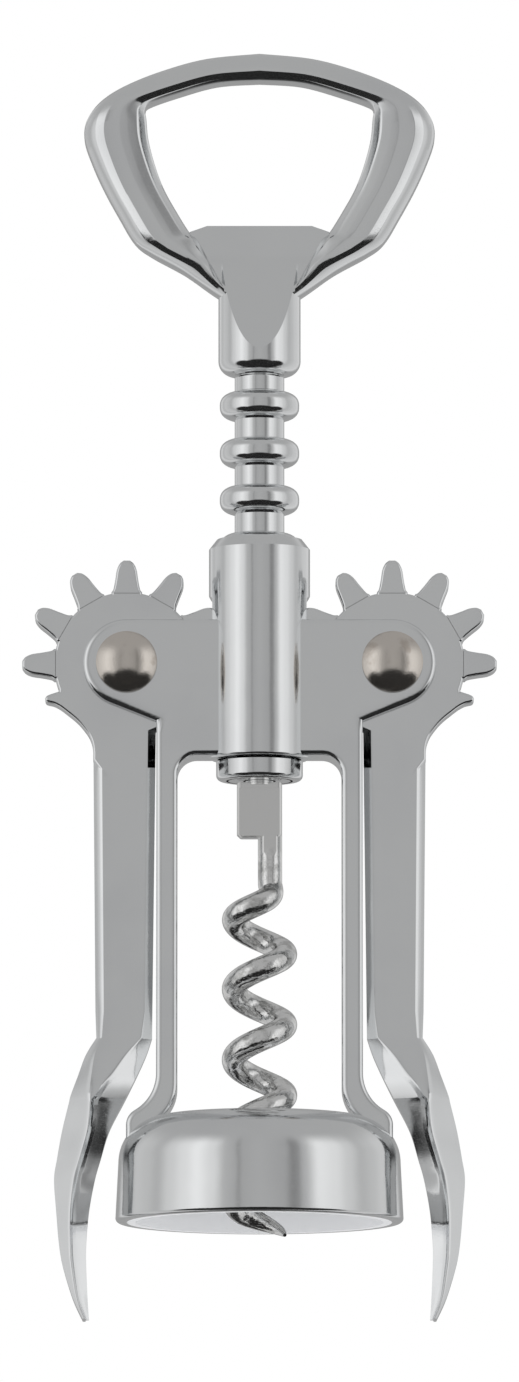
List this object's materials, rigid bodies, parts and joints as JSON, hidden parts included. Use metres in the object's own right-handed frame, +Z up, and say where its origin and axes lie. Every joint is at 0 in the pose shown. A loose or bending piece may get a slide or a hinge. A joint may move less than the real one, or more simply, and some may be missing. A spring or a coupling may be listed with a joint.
{
  "type": "wing corkscrew",
  "caption": "Double-lever corkscrew with a bottle bell, geared wing levers on a round rack spindle, a wire worm and a crown-cap opener handle.",
  "frame": {"origin": "under the middle of the corkscrew, level with the tips of the hanging levers", "axes": "+Z up along the spindle, towards the handle; +X to the right seen from the front; -Y towards the front"},
  "size_m": [0.0668, 0.0404, 0.1796],
  "materials": {
    "polished_chrome": "bright chrome plate on die-cast metal",
    "satin_nickel": "satin nickel plate",
    "plated_steel": "bright plate on steel wire"
  },
  "bodies": {
    "frame": {"frame": "polished_chrome", "left_rivet": "satin_nickel", "right_rivet": "satin_nickel"},
    "collar": {"stop_collar": "polished_chrome"},
    "spindle": {"rack_spindle": "polished_chrome", "worm": "plated_steel", "handle": "polished_chrome"},
    "left_lever": {"left_lever": "polished_chrome"},
    "right_lever": {"right_lever": "polished_chrome"}
  },
  "joints": [
    {"name": "spindle_slide", "type": "slide", "parent": "frame", "child": "collar", "axis": [0, 0, 1], "range_m": [-0.0324, 0]},
    {"name": "spindle_spin", "type": "hinge", "parent": "collar", "child": "spindle", "pos_m": [0, 0, 0.0924], "axis": [0, 0, 1], "continuous": true},
    {"name": "left_lever_hinge", "type": "hinge", "parent": "frame", "child": "left_lever", "pos_m": [-0.0187, 0, 0.0924], "axis": [0, 1, 0], "range_deg": [0, 145.1]},
    {"name": "right_lever_hinge", "type": "hinge", "parent": "frame", "child": "right_lever", "pos_m": [0.0187, 0, 0.0924], "axis": [0, -1, 0], "range_deg": [0, 145.1]}
  ],
  "couplings": [
    {"joint": "left_lever_hinge", "follows": "spindle_slide", "rad_per_m": -78.149},
    {"joint": "right_lever_hinge", "follows": "spindle_slide", "rad_per_m": -78.149}
  ]
}
